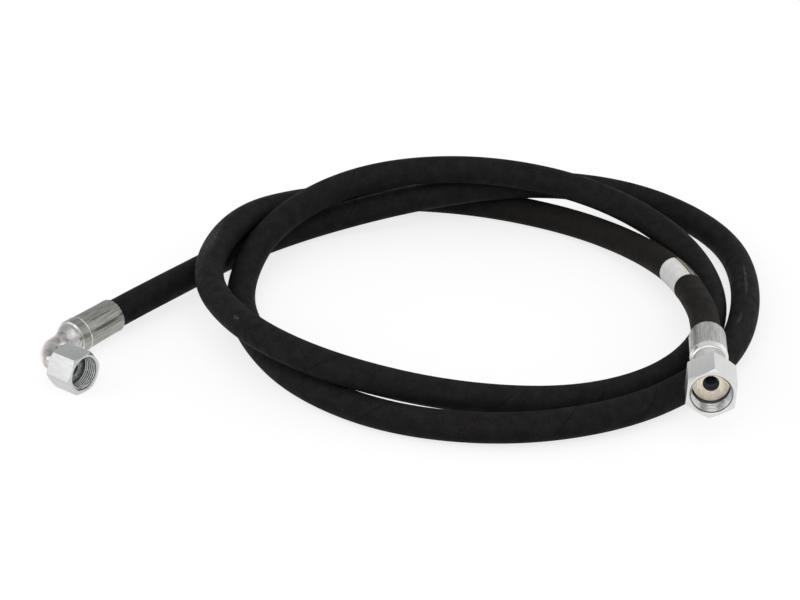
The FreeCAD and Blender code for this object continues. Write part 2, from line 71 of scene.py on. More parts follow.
# Sizes of the nuts. Heights are from a nut's rear end, and the roll is in degrees.
STRAIGHT_NUT = {"flats": 0.0349, "length": 0.028, "thread": 0.03016, "pitch": 0.002117,
                "bore": 0.01085, "shoulder": 0.0056,
                "face": STRAIGHT_FACE_REACH - STRAIGHT_NUT_REAR, "roll": 2.5}
ELBOW_NUT = {"flats": 0.030, "length": 0.024, "thread": 0.0254, "pitch": 0.001814,
             "bore": 0.00936, "shoulder": 0.0065,
             "face": ELBOW_FACE_REACH - ELBOW_NUT_REAR, "roll": 30}

# Free points of the hose's route: east, north and the height of its underside.
ROUTE = (
    (0.244, 0.065, 0.023),
    (0.230, 0.159, 0.009),
    (0.1765, 0.2405, 0.000),
    (0.097, 0.2845, 0.000),
    (0.014, 0.301, 0.000),
    (-0.066, 0.272, 0.011),
    (-0.1215, 0.2045, 0.0266),
    (-0.143, 0.114, 0.0225),
    (-0.108, 0.027, 0.026),
    (-0.040, -0.039, 0.027),
    (0.055, -0.044, 0.004),
    (0.151, -0.043, 0.000),
    (0.2255, 0.0035, 0.000),
    (0.2645, 0.097, 0.000),
    (0.246, 0.190, 0.012),
    (0.175, 0.245, 0.033),
    (0.077, 0.265, 0.0454),
    (-0.022, 0.2655, 0.036),
    (-0.093, 0.210, 0.020),
    (-0.117, 0.134, 0.000),
    (-0.101, 0.052, 0.001),
    (-0.060, -0.019, 0.000),
    (0.011, -0.070, 0.000),
    (0.105, -0.084, 0.001),
    (0.197, -0.053, 0.002),
    (0.2645, 0.022, 0.002),
    (0.291, 0.126, 0.002),
    (0.2825, 0.2225, 0.001),
    (0.2165, 0.2815, 0.011),
    (0.124, 0.2765, 0.0257),
    (0.034, 0.268, 0.017),
    (-0.055, 0.252, 0.000),
    (-0.120, 0.198, 0.0005),
    (-0.161, 0.135, 0.007),
)


# places of the fittings
def direction(heading, climb=0):
    """The unit vector of a heading from +X towards +Y and a climb, in degrees."""
    flat = math.cos(math.radians(climb))
    return Vector((flat * math.cos(math.radians(heading)),
                   flat * math.sin(math.radians(heading)),
                   math.sin(math.radians(climb))))


def upright(axis):
    """Two unit vectors square to an axis: the nearest to upwards, and the one beside it."""
    upwards = (Vector((0, 0, 1)) - axis * axis.z).normalized()
    return upwards, axis.cross(upwards)


def placed(position, axis):
    """A frame whose Z is the axis and whose Y is as near to upwards as it can be."""
    upwards, sideways = upright(axis)
    turn = Matrix((-sideways, upwards, axis)).transposed()
    return Matrix.Translation(position) @ turn.to_4x4()


STRAIGHT_HEADING = -95
STRAIGHT_AXIS = direction(STRAIGHT_HEADING, climb=6)
STRAIGHT_RIM = Vector((0.2414, 0.0041, 0.0391))
STRAIGHT_PLACE = placed(STRAIGHT_RIM, STRAIGHT_AXIS)

ELBOW_AXIS = direction(-127)
ELBOW_RIM = Vector((-0.2094, 0.0828, 0.0150))
ELBOW_PLACE = placed(ELBOW_RIM, ELBOW_AXIS)
ELBOW_CORNER = ELBOW_RIM + ELBOW_AXIS * ELBOW_CORNER_REACH
MOUTH_AXIS = direction(-37)
MOUTH_PLACE = placed(ELBOW_CORNER, MOUTH_AXIS)

# The straight nut hangs tilted on its neck, about the middle of the bore that holds it there.
NUT_AXIS = direction(STRAIGHT_HEADING, climb=1)
NUT_HOLD = STRAIGHT_NUT["shoulder"] / 2
NUT_FOOT = STRAIGHT_RIM + STRAIGHT_AXIS * (STRAIGHT_NUT_REAR + NUT_HOLD) - NUT_AXIS * NUT_HOLD


# camera
def make_camera():
    """The photograph's view: square to X, looking down on the middle of the loops."""
    target = Vector((0.0135, 0.1351, 0))
    elevation = math.radians(28.511)
    distance = 1.8956
    data = bpy.data.cameras.new("camera")
    data.sensor_width = 36
    data.lens = 106.9
    camera = bpy.data.objects.new("camera", data)
    camera.location = target + distance * Vector((0, -math.cos(elevation), math.sin(elevation)))
    camera.rotation_euler = (math.pi / 2 - elevation, 0, 0)
    bpy.context.scene.collection.objects.link(camera)
    bpy.context.scene.camera = camera


make_camera()


# mesh helpers
def new_piece(name, points, faces, placement=Matrix.Identity(4), uvs=None):
    """A smooth mesh object; uvs has one pair for each corner of each face."""
    mesh = bpy.data.meshes.new(name)
    mesh.from_pydata(points, [], faces)
    if uvs:
        layer = mesh.uv_layers.new(name="surface")
        layer.data.foreach_set("uv", [number for pair in uvs for number in pair])
    mesh.shade_smooth()
    mesh.validate()
    piece = bpy.data.objects.new(name, mesh)
    piece.matrix_world = placement
    bpy.context.scene.collection.objects.link(piece)
    return piece


def smooth(share):
    """A smooth step from 0 to 1."""
    share = min(max(share, 0.0), 1.0)
    return share * share * (3 - 2 * share)


def evenly(start, step, count):
    return [start + step * index for index in range(count)]


def filleted(corners):
    """An open outline of (radius, height, fillet) corners, each fillet in the same few steps."""
    steps = 4
    longest_share = 0.45
    outline = []
    for index, (radius, height, fillet) in enumerate(corners):
        here = Vector((radius, height))
        if not fillet or index in (0, len(corners) - 1):
            outline.append(tuple(here))
            continue
        arriving = here - Vector(corners[index - 1][:2])
        leaving = Vector(corners[index + 1][:2]) - here
        reach = min(fillet, longest_share * arriving.length, longest_share * leaving.length)
        start = here - arriving.normalized() * reach
        end = here + leaving.normalized() * reach
        for step in range(steps + 1):
            share = step / steps
            outline.append(tuple(start.lerp(here, share).lerp(here.lerp(end, share), share)))
    return outline


def ring_piece(name, placement, profile_at, sides):
    """A closed piece around its Z axis: profile_at(turn) gives its outline of (radius, height)."""
    points = []
    for side in range(sides):
        turn = 2 * math.pi * side / sides
        outline = profile_at(turn)
        for radius, height in outline:
            points.append((radius * math.cos(turn), radius * math.sin(turn), height))
    rows = len(outline)
    faces = []
    for side in range(sides):
        for row in range(rows):
            here, beside = side * rows, (side + 1) % sides * rows
            above = (row + 1) % rows
            faces.append((here + row, here + above, beside + above, beside + row))
    return new_piece(name, points, faces, placement)


# the hose and its label
def hose_points():
    """Control points of the whole route, from one hose end to the other."""
    points = [STRAIGHT_RIM + STRAIGHT_AXIS * HOSE_INSERTION,
              STRAIGHT_RIM - STRAIGHT_AXIS * EXIT_RUN]
    for east, north, lift in ROUTE:
        points.append(Vector((east, north, HOSE_RADIUS + lift)))
    points.append(ELBOW_RIM - ELBOW_AXIS * EXIT_RUN)
    points.append(ELBOW_RIM + ELBOW_AXIS * HOSE_INSERTION)
    return points


def centreline():
    """Points along the smooth spline of the route."""
    curve = bpy.data.curves.new("route", "CURVE")
    curve.dimensions = "3D"
    curve.resolution_u = 40
    spline = curve.splines.new("NURBS")
    points = hose_points()
    spline.points.add(len(points) - 1)
    for point, place in zip(spline.points, points):
        point.co = (*place, 1)
    spline.order_u = 3
    spline.use_endpoint_u = True
    route = bpy.data.objects.new("route", curve)
    mesh = bpy.data.meshes.new_from_object(route)
    points = [vertex.co.copy() for vertex in mesh.vertices]
    bpy.data.meshes.remove(mesh)
    bpy.data.curves.remove(curve)
    return points


class Line:
    """The hose's centreline, with its axis and the distance along it at each point."""

    def __init__(self, points):
        self.points = points
        self.along = [0.0]
        for before, after in zip(points, points[1:]):
            self.along.append(self.along[-1] + (after - before).length)
        self.axes = []
        for index in range(len(points)):
            low = max(index - 1, 0)
            high = min(index + 1, len(points) - 1)
            self.axes.append((points[high] - points[low]).normalized())

    def at(self, distance):
        """The point and the axis at a distance along the line."""
        index = 0
        while self.along[index + 1] < distance and index < len(self.points) - 2:
            index += 1
        share = (distance - self.along[index]) / (self.along[index + 1] - self.along[index])
        point = self.points[index].lerp(self.points[index + 1], share)
        axis = self.axes[index].lerp(self.axes[index + 1], share).normalized()
        return point, axis


line = Line(centreline())


def around_hose(point, axis, turn, radius):
    """The place at a turn from the top of the hose and a distance from its centreline."""
    upwards, sideways = upright(axis)
    outwards = upwards * math.cos(turn) + sideways * math.sin(turn)
    return point + outwards * radius


def make_hose():
    """The black cover as a tube along the line, with UVs of turns around and metres along."""
    sides = 64
    points, faces, uvs = [], [], []
    for point, axis in zip(line.points, line.axes):
        for side in range(sides):
            points.append(around_hose(point, axis, 2 * math.pi * side / sides, HOSE_RADIUS))
    rows = len(line.points)
    for row in range(rows - 1):
        for side in range(sides):
            beside = (side + 1) % sides
            faces.append((row * sides + side, (row + 1) * sides + side,
                          (row + 1) * sides + beside, row * sides + beside))
            low, high = line.along[row], line.along[row + 1]
            left, right = side / sides, (side + 1) / sides
            uvs += [(left, low), (left, high), (right, high), (right, low)]
    for row, order in ((0, 1), (rows - 1, -1)):
        faces.append(tuple(row * sides + side for side in range(sides))[::order])
        uvs += [(0, line.along[row])] * sides
    return new_piece("hose_cover", points, faces, uvs=uvs)


def make_label(name, turn_start, turn_end, thickness):
    """A closed band round part of the hose, with UVs from 0 to 1 around it and along it."""
    rows = 36
    columns = 48
    gap = 0.00002
    points, faces, uvs = [], [], []
    for radius in (HOSE_RADIUS + thickness, HOSE_RADIUS + gap):
        for row in range(rows + 1):
            point, axis = line.at(LABEL_START + LABEL_LENGTH * row / rows)
            for column in range(columns + 1):
                turn = turn_start + (turn_end - turn_start) * column / columns
                points.append(around_hose(point, axis, turn, radius))
    wide = columns + 1
    layer = (rows + 1) * wide
    for row in range(rows):
        for column in range(columns):
            corner = row * wide + column
            faces.append((corner, corner + wide, corner + wide + 1, corner + 1))
            faces.append((layer + corner, layer + corner + 1, layer + corner + wide + 1,
                          layer + corner + wide))
    for row in range(rows):
        for column, order in ((0, 1), (columns, -1)):
            corner = row * wide + column
            faces.append((corner, layer + corner, layer + corner + wide, corner + wide)[::order])
    for column in range(columns):
        for row, order in ((0, -1), (rows, 1)):
            corner = row * wide + column
            faces.append((corner, layer + corner, layer + corner + 1, corner + 1)[::order])
    for face in faces:
        for corner in face:
            row, column = divmod(corner % layer, wide)
            uvs.append((column / columns, row / rows))
    return new_piece(name, points, faces, uvs=uvs)


hose = make_hose()
label = make_label("label_white", LABEL_EDGE - LABEL_WRAP, LABEL_EDGE, LABEL_THICKNESS)
film = make_label("label_clear", LABEL_EDGE, LABEL_EDGE + 2 * math.pi - LABEL_WRAP,
                  LABEL_THICKNESS - 0.0001)


# the ferrules
def make_ferrule(name, placement, ridge_height, press, phase, pinch, scallop):
    """A crimped ferrule: jaw marks with ridges between them, and a bead where they end.

    Press is how deep the jaws went, pinch how much the rear is narrower than the front, and
    scallop the height of the waves in its rear rim.
    """
    jaws = 8
    scallops = 22
    bead_height = 0.00024
    ridge_top, ridge_side = 0.0002, 0.0009
    crease_depth, crease_place, crease_width = 0.00018, 0.00135, 0.0004
    hollow_depth = 0.00030
    rear_fade, front_fade = 0.0045, 0.0006
    scallop_end = 0.0015
    inner = HOSE_RADIUS + 0.00003
    flange = 0.0086
    lock_start = 0.0424
    edge = 0.001
    inner_edge = 0.0004
    rim_rounding = ((0.0012, 0.0), (0.0007, 0.00015), (0.0002, 0.0006))

    def outer(turn, height):
        if height > CRIMP_END:
            share = abs(height - CRIMP_END - BEAD_WIDTH / 2) / (BEAD_WIDTH / 2)
            return FERRULE_RADIUS + bead_height * (1 - smooth(share))
        sector = ((turn + phase) / (2 * math.pi) * jaws) % 1
        from_ridge = min(sector, 1 - sector) * 2 * math.pi * FERRULE_RADIUS / jaws
        crest = ridge_height * (1 - smooth((from_ridge - ridge_top) / ridge_side))
        off_crease = (from_ridge - crease_place) / crease_width
        crease = -crease_depth * math.exp(-off_crease ** 2) * press
        hollow = -hollow_depth * press * math.sin(math.pi * sector) ** 2
        ends = smooth(height / rear_fade) * smooth((CRIMP_END - height) / front_fade)
        taper = pinch * (1 - height / CRIMP_END)
        wave = scallop * math.cos(scallops * turn) * (
            1 - smooth((height - scallop_end) / rear_fade))
        return FERRULE_RADIUS + (crest + crease + hollow) * ends - taper + wave

    heights = (evenly(0.0010, 0.0005, 12) + evenly(0.0075, 0.002, 14)
               + evenly(CRIMP_END - front_fade, front_fade / 2, 3)
               + evenly(CRIMP_END + BEAD_WIDTH / 6, BEAD_WIDTH / 6, 6)
               + evenly(CRIMP_END + BEAD_WIDTH + 0.0004, 0.0015, 5))
    front = filleted([(FERRULE_RADIUS, heights[-1], 0),
                      (FERRULE_RADIUS, FERRULE_LENGTH - edge, 0.0003),
                      (FERRULE_RADIUS - edge, FERRULE_LENGTH, 0.0003),
                      (flange, FERRULE_LENGTH, 0.0002),
                      (flange, lock_start, 0.0002),
                      (inner, lock_start, 0),
                      (inner, inner_edge, 0)])[1:-1]

    def profile_at(turn):
        rim = outer(turn, heights[0])
        outline = [(inner, inner_edge), (inner + 0.0003, 0.0)]
        outline += [(rim - inset, height) for inset, height in rim_rounding]
        outline += [(outer(turn, height), height) for height in heights]
        return outline + front

    return ring_piece(name, placement, profile_at, 352)


def make_braze_fillet():
    """The smooth fillet of braze between the collar of the elbow's hose tail and the bent tube."""
    start, end = 0.0541, 0.0606
    collar, tube = 0.0092, 0.0080
    film_thickness = 0.00004
    inner = tube - 0.0003
    hollowness = 2.4
    steps = 20
    outline = [(inner, start)]
    for step in range(steps + 1):
        share = step / steps
        outline.append((tube + film_thickness + (collar - tube) * (1 - share) ** hollowness,
                        start + (end - start) * share))
    outline.append((inner, end))
    return ring_piece("elbow_braze_fillet", ELBOW_PLACE, lambda turn: outline, 96)


straight_ferrule = make_ferrule(
    "straight_ferrule_crimp", STRAIGHT_PLACE, ridge_height=0.00012, press=0.30,
    phase=math.radians(22), pinch=0.00015, scallop=0.00003)
elbow_ferrule = make_ferrule(
    "elbow_ferrule_crimp", ELBOW_PLACE, ridge_height=0.00026, press=1.0,
    phase=math.radians(28), pinch=0.0005, scallop=0.00011)
braze = make_braze_fillet()


# the nuts
def hexagon_radius(turn, flats, corner_fillet):
    """Distance from the axis to a hexagon with a corner at turn zero and rounded corners."""
    apart = abs((turn + math.pi / 6) % (math.pi / 3) - math.pi / 6)
    inset = flats / 2 - corner_fillet
    inset_corner = inset / math.cos(math.pi / 6)
    flat_reach = (flats / 2) / math.cos(math.pi / 6 - apart)
    along_arc = inset_corner * math.cos(apart) + math.sqrt(
        max(corner_fillet ** 2 - (inset_corner * math.sin(apart)) ** 2, 0))
    tangent = math.atan2(corner_fillet * math.sin(math.pi / 6),
                         inset_corner + corner_fillet * math.cos(math.pi / 6))
    return along_arc if apart < tangent else flat_reach


def make_nut(name, placement, flats, length, thread, pitch, bore, shoulder, face, roll):
    """A swivel nut: rounded hexagon, chamfered ends, and a real helical thread in its mouth."""
    corner_fillet = 0.0005
    chamfer_start = flats / 2 - 0.0001
    slope = math.tan(math.radians(30))
    least_chamfer = 0.0002
    soft, sharp = 0.00018, 0.0001
    mouth_chamfer = 0.0007
    depth = THREAD_DEPTH * pitch
    half_crest, flank = 0.16, 0.68
    fade_in, fade_out = 0.6 * pitch, 0.5 * pitch
    thread_start = face + 0.0012
    thread_end = length - 0.0009
    thread_step = 0.00014
    relief, relief_end = thread / 2 + 0.0003, thread_start - 0.0003
    rows = int(round((thread_end - thread_start) / thread_step))

    def thread_radius(turn, height):
        phase = (height / pitch - turn / (2 * math.pi)) % 1
        from_crest = abs(phase - 0.5) * 2
        ridge = 1 - smooth((from_crest - half_crest) / flank)
        fade = min(smooth((height - thread_start) / fade_in),
                   smooth((thread_end - height) / fade_out))
        return thread / 2 - depth * ridge * fade

    def profile_at(turn):
        reach = hexagon_radius(turn - math.radians(90 - roll), flats, corner_fillet)
        cut = max((reach - chamfer_start) * slope, least_chamfer)
        points = filleted([(bore, shoulder, 0),
                           (bore, 0.0, soft),
                           (chamfer_start, 0.0, soft),
                           (reach, cut, soft),
                           (reach, length - cut, soft),
                           (chamfer_start, length, soft),
                           (thread / 2 + mouth_chamfer, length, sharp),
                           (thread / 2, length - mouth_chamfer, sharp),
                           (thread / 2, thread_end, 0)])[1:]
        for row in range(1, rows + 1):
            height = thread_end + (thread_start - thread_end) * row / rows
            points.append((thread_radius(turn, height), height))
        points += [(relief, relief_end), (relief, shoulder), (bore, shoulder)]
        return points

    return ring_piece(name, placement, profile_at, 360)


ELBOW_NUT_FOOT = ELBOW_CORNER + MOUTH_AXIS * ELBOW_NUT_REAR
straight_nut = make_nut("straight_nut_shell", placed(NUT_FOOT, NUT_AXIS), **STRAIGHT_NUT)
elbow_nut = make_nut("elbow_nut_shell", placed(ELBOW_NUT_FOOT, MOUTH_AXIS), **ELBOW_NUT)


# shader helpers
def tone(red, green=None, blue=None):
    """A colour from its linear parts, or a grey from one number."""
    return (red, red if green is None else green, red if blue is None else blue, 1)


class Graph:
    """The nodes of one tree; most calls add a node and give its output."""

    def __init__(self, tree):
        self.tree = tree

    def put(self, socket, value):
        """Link an output to a socket, or set a plain number, colour or vector on it."""
        if isinstance(value, bpy.types.NodeSocket):
            self.tree.links.new(value, socket)
        else:
            socket.default_value = value

    def add(self, kind, inputs, output=0, **settings):
        node = self.tree.nodes.new("ShaderNode" + kind)
        for setting, value in settings.items():
            setattr(node, setting, value)
        for socket, value in inputs.items():
            self.put(node.inputs[socket], value)
        return node.outputs[output]

    def math(self, operation, *values):
        return self.add("Math", dict(enumerate(values)), operation=operation)

    def plus(self, first, second):
        return self.math("ADD", first, second)

    def minus(self, first, second):
        return self.math("SUBTRACT", first, second)

    def times(self, first, second):
        return self.math("MULTIPLY", first, second)

    def greater(self, first, second):
        return self.math("MAXIMUM", first, second)

    def apart(self, first, second):
        """How far apart two numbers are."""
        return self.math("ABSOLUTE", self.minus(first, second))

    def length(self, first, second):
        """The length of a line from its two parts."""
        return self.math("SQRT", self.plus(self.times(first, first), self.times(second, second)))

    def parts(self, vector):
        return tuple(self.add("SeparateXYZ", {0: vector}).node.outputs)

    def noise(self, vector, scale, detail=2.0, roughness=0.5):
        return self.add("TexNoise", {"Vector": vector, "Scale": scale, "Detail": detail,
                                     "Roughness": roughness})

    def streaks(self, vector, stretch, detail, roughness=0.5):
        """Noise with its own scale along each axis."""
        stretched = self.add("Mapping", {"Vector": vector, "Scale": stretch})
        return self.noise(stretched, 1, detail, roughness)

    def ramp(self, value, low, high, start=0.0, end=1.0):
        """A smooth step from start to end while the value goes from low to high."""
        return self.add("MapRange", {"Value": value, "From Min": low, "From Max": high,
                                     "To Min": start, "To Max": end},
                        interpolation_type="SMOOTHSTEP")

    def blend(self, share, first, second):
        return self.add("Mix", {"Factor": share, "A": first, "B": second}, "Result",
                        data_type="RGBA")

    def bump(self, height, distance, below=None):
        inputs = {"Height": height, "Distance": distance}
        if below is not None:
            inputs["Normal"] = below
        return self.add("Bump", inputs)

    def own_place(self, frame_of=None):
        """A piece's own coordinates, or those of a fitting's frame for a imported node."""
        place = self.add("TexCoord", {}, "Object")
        if frame_of is None:
            return place
        return self.add("Mapping", {"Vector": place, "Location": frame_of.translation,
                                    "Rotation": frame_of.to_euler()}, vector_type="TEXTURE")

    def surface(self):
        """A piece's UVs: round it and along it."""
        around, along, _ = self.parts(self.add("UVMap", {}, uv_map="surface"))
        return around, along


class Paint(Graph):
    """A new material; uniform has the shader's numbers that are the same all over."""

    def __init__(self, name, uniform):
        self.material = bpy.data.materials.new(name)
        self.material.use_nodes = True
        super().__init__(self.material.node_tree)
        self.shader = self.tree.nodes["Principled BSDF"]
        for socket, value in uniform.items():
            self.shader.inputs[socket].default_value = value

    def vary(self, socket, value):
        self.put(self.shader.inputs[socket], value)

    def finish(self, colour, roughness, normal):
        self.vary("Base Color", colour)
        self.vary("Roughness", roughness)
        self.vary("Normal", normal)
        return self.material


# materials of the hose and its label
# Light rubs on the hose: distance along it, turn from its top, and half their length and girth.
RUBS = (
    (0.690, 20, 0.034, 42),
    (0.820, 42, 0.005, 14),
    (2.470, 0, 0.036, 10),
    (2.405, -2, 0.012, 10),
)


def rubbed(graph, around, along):
    """How far each place on the hose is rubbed, from 0 to 1."""
    worn = None
    for distance, turn, half_length, half_girth in RUBS:
        off_along = graph.times(graph.minus(along, distance), 1 / half_length)
        off_turn = graph.math("WRAP", graph.minus(around, turn / 360), 0.5, -0.5)
        off_around = graph.times(off_turn, 360 / half_girth)
        rub = graph.ramp(graph.length(off_along, off_around), 0.35, 1.0, 1, 0)
        worn = rub if worn is None else graph.greater(worn, rub)
    return worn


def make_rubber():
    """Matt black rubber with the weave and the overlaps of the cloth that it was cured in; painted
    shade darkens the overlaps.
    """
    wrap_pitch = 0.068
    threads_around = 64
    thread_pitch = 0.0022
    label_end, olive_end = 0.30, 0.50
    black, faded = tone(0.0092, 0.0083, 0.0086), tone(0.0160, 0.0146, 0.0149)
    olive, pale = tone(0.0160, 0.0150, 0.0116), tone(0.0310, 0.0288, 0.0288)
    crease, dusty = tone(0.0030, 0.0028, 0.0029), tone(0.105, 0.100, 0.095)

    graph = Paint("cover_rubber", {"Specular IOR Level": 0.05})
    around, along = graph.surface()
    angle = graph.times(around, 2 * math.pi)
    place = graph.add("CombineXYZ", {
        0: graph.times(graph.math("COSINE", angle), HOSE_RADIUS),
        1: graph.times(graph.math("SINE", angle), HOSE_RADIUS), 2: along})

    blotches = graph.noise(place, 110, 4, 0.6)
    patches = graph.noise(place, 17, 2)
    grain = graph.noise(place, 1500, 3, 0.6)
    colour = graph.blend(graph.ramp(blotches, 0.3, 0.72), black, faded)
    near_label = graph.ramp(along, label_end, olive_end, 0.9, 0.15)
    aged = graph.times(graph.ramp(patches, 0.30, 0.60, 0.2, 0.9), near_label)
    colour = graph.blend(aged, colour, olive)
    colour = graph.blend(graph.ramp(grain, 0.45, 0.75, 0, 0.8), colour, pale)

    turns = graph.plus(graph.times(along, 1 / wrap_pitch), around)
    wobble = graph.times(graph.noise(place, 30), 0.05)
    share = graph.math("FRACT", graph.plus(turns, wobble))
    # The dark colour along the overlaps is painted shade in their grooves.
    overlap = graph.ramp(graph.apart(share, 0.5), 0.004, 0.013, 1, 0)
    strength = graph.ramp(graph.noise(place, 23), 0.40, 0.60, 0.12, 0.6)
    colour = graph.blend(graph.times(overlap, strength), colour, crease)

    specks = graph.ramp(graph.noise(place, 900, 2, 0.7), 0.50, 0.66)
    dust = graph.times(rubbed(graph, around, along), graph.ramp(specks, 0, 1, 0.11, 1.0))
    colour = graph.blend(dust, colour, dusty)

    threads = []
    for turned in (threads_around, -threads_around):
        phase = graph.plus(graph.times(around, turned), graph.times(along, 1 / thread_pitch))
        threads.append(graph.math("SINE", graph.times(2 * math.pi, phase)))
    normal = graph.bump(graph.times(*threads), 0.000016)
    normal = graph.bump(grain, 0.00012, normal)
    normal = graph.bump(graph.ramp(share, 0.485, 0.515), 0.00015, normal)
    return graph.finish(colour, graph.ramp(blotches, 0.3, 0.7, 0.74, 0.60), normal)


def make_white_film():
    """White film with faint clouds, yellowed at its straight edge and grey at both ends."""
    graph = Paint("white_film", {"Specular IOR Level": 0.45})
    around, along = graph.surface()
    place = graph.own_place()
    clouds = graph.noise(place, 130, 3)
    colour = graph.blend(graph.ramp(clouds, 0.35, 0.65), tone(0.78, 0.775, 0.77),
                         tone(0.86, 0.855, 0.84))
    colour = graph.blend(graph.ramp(around, 0.93, 1.0, 0, 0.6), colour, tone(0.62, 0.55, 0.38))
    colour = graph.blend(graph.ramp(graph.apart(along, 0.5), 0.47, 0.5, 0, 0.5), colour,
                         tone(0.33, 0.31, 0.28))
    normal = graph.bump(graph.noise(place, 300, 2), 0.0002)
    return graph.finish(colour, graph.ramp(clouds, 0.3, 0.7, 0.42, 0.30), normal)


def make_clear_film():
    """Clear film over the black rubber: olive, with a ridge where it leaves the white, coloured
    pale as a painted highlight.
    """
    graph = Paint("clear_film", {"Alpha": 0.5, "Specular IOR Level": 0.6})
    around, _ = graph.surface()
    clouds = graph.noise(graph.own_place(), 200, 3)
    colour = graph.blend(clouds, tone(0.085, 0.078, 0.045), tone(0.125, 0.115, 0.068))
    # The ridge's pale colour is a painted highlight; its bump is a real ridge.
    ridge = graph.times(graph.ramp(around, 0.055, 0.085), graph.ramp(around, 0.105, 0.135, 1, 0))
    colour = graph.blend(ridge, colour, tone(0.55, 0.50, 0.36))
    return graph.finish(colour, graph.ramp(clouds, 0.3, 0.7, 0.22, 0.34),
                        graph.bump(ridge, 0.0002))


# materials of the fittings
def brushed(graph, place, stretch, tones, rough):
    """Plated steel: streaks along its drawing or turning, and faint tinted clouds."""
    dark, light, tint = tones
    streaks = graph.streaks(place, stretch, 5, 0.68)
    clouds = graph.noise(place, 210, 3, 0.6)
    colour = graph.blend(graph.ramp(streaks, 0.32, 0.68), dark, light)
    colour = graph.blend(graph.ramp(clouds, 0.45, 0.75, 0, 0.55), colour, tint)
    roughness = graph.ramp(streaks, 0.3, 0.7, rough[1], rough[0])
    return colour, roughness, streaks


def make_nut_steel(name, thread, depth, mouth, tones):
    """Bright zinc; inside, a yellow-green tint with blue and white lobes of painted highlight, and
    thread roots darkened as painted shade.

    Depth is the thread's, and mouth is the height from which the inside takes these colours.
    """
    graph = Paint(name, {"Metallic": 1.0})
    place = graph.own_place()
    colour, roughness, streaks = brushed(graph, place, (900, 900, 60), tones, (0.28, 0.36))
    east, north, height = graph.parts(place)
    radius = graph.length(east, north)
    inside = graph.times(graph.ramp(radius, thread / 2, thread / 2 + 0.0002, 1, 0),
                         graph.ramp(height, mouth, mouth + 0.0005))

    # Inside the mouth: blue and white lobes around the axis are painted highlights over a
    # yellow-green tint, and the dark thread roots are painted shade.
    turn = graph.math("ARCTAN2", north, east)
    highlight_lobes = graph.math("COSINE", graph.times(5, graph.plus(turn, math.radians(80))))
    tint_and_highlight_sweep = graph.plus(graph.times(highlight_lobes, 0.08), graph.streaks(place, (160, 160, 60), 2))
    inside_tint_highlight_and_shade = graph.blend(graph.ramp(tint_and_highlight_sweep, 0.34, 0.50), tone(0.44, 0.45, 0.36),
                       tone(0.66, 0.72, 0.76))
    inside_tint_highlight_and_shade = graph.blend(graph.ramp(tint_and_highlight_sweep, 0.48, 0.62), inside_tint_highlight_and_shade, tone(0.98, 0.985, 0.98))
    painted_root_shade = graph.ramp(radius, thread / 2 - 0.75 * depth, thread / 2 - 0.15 * depth)
    inside_tint_highlight_and_shade = graph.blend(painted_root_shade, inside_tint_highlight_and_shade, tone(0.13, 0.135, 0.12))
    colour = graph.blend(inside, colour, inside_tint_highlight_and_shade)
    roughness = graph.minus(roughness, graph.times(inside, 0.12))

    hollow_start, hollow_end = 0.007, 0.009
    hollow = graph.times(graph.ramp(radius, thread / 2 + 0.0004, thread / 2 + 0.0006, 1, 0),
                         graph.ramp(height, hollow_start, hollow_end))
    graph.vary("Metallic", graph.minus(1, graph.times(hollow, 0.45)))
    return graph.finish(colour, roughness, graph.bump(streaks, 0.00001))


def make_ferrule_steel(name, tones, rough, front_highlight, shade_bands):
    """Crimped steel, scored along its length by the jaws; the (turn, half width) bands in its last
    argument are painted shade on the crimp, under the jaw ridges.

    The argument before the bands says how far the uncrimped front, between the bead and the front
    edge, is brightened as a painted highlight; the bead and the front edge get broken painted
    highlights.
    """
    dark = tones[0]
    graph = Paint(name, {"Metallic": 1.0})
    place = graph.own_place()
    colour, roughness, streaks = brushed(graph, place, (1300, 1300, 60), tones, rough)
    scores = graph.streaks(place, (1500, 1500, 60), 3, 0.6)
    colour = graph.blend(graph.ramp(scores, 0.56, 0.72, 0, 0.55), colour,
                         tone(dark[0] * 0.45, dark[1] * 0.45, dark[2] * 0.42))

    east, north, height = graph.parts(place)
    turn = graph.math("ARCTAN2", north, east)
    on_crimp = graph.times(graph.ramp(height, 0.006, 0.013),
                           graph.ramp(height, 0.029, 0.0345, 1, 0))
    # Painted shade: dark bands along the crimp, under the jaw ridges.
    for centre, half_width in shade_bands:
        off = graph.apart(turn, math.radians(centre))
        shade_band = graph.times(on_crimp, graph.ramp(off, 0, math.radians(half_width), 0.75, 0))
        colour = graph.blend(shade_band, colour, tone(dark[0] * 0.4, dark[1] * 0.4, dark[2] * 0.36))

    # Painted highlights: broken bright lines on the bead and the front edge, and a brighter
    # uncrimped front.
    bead, front_edge = (graph.ramp(graph.apart(height, centre), 0.0002, 0.0007, 1, 0)
                        for centre in (CRIMP_END + BEAD_WIDTH / 2, FERRULE_LENGTH - 0.0003))
    front = graph.ramp(height, CRIMP_END + 0.0001, CRIMP_END + 0.0009, 0, front_highlight)
    broken = graph.ramp(graph.noise(place, 260, 2), 0.35, 0.60, 0.35, 0.85)
    painted_highlight = graph.greater(graph.times(graph.greater(bead, front_edge), broken), front)
    colour = graph.blend(painted_highlight, colour, tone(0.93, 0.935, 0.91))
    roughness = graph.minus(roughness, graph.times(painted_highlight, 0.12))
    normal = graph.bump(scores, 0.00005, graph.bump(streaks, 0.00009))
    return graph.finish(colour, roughness, normal)


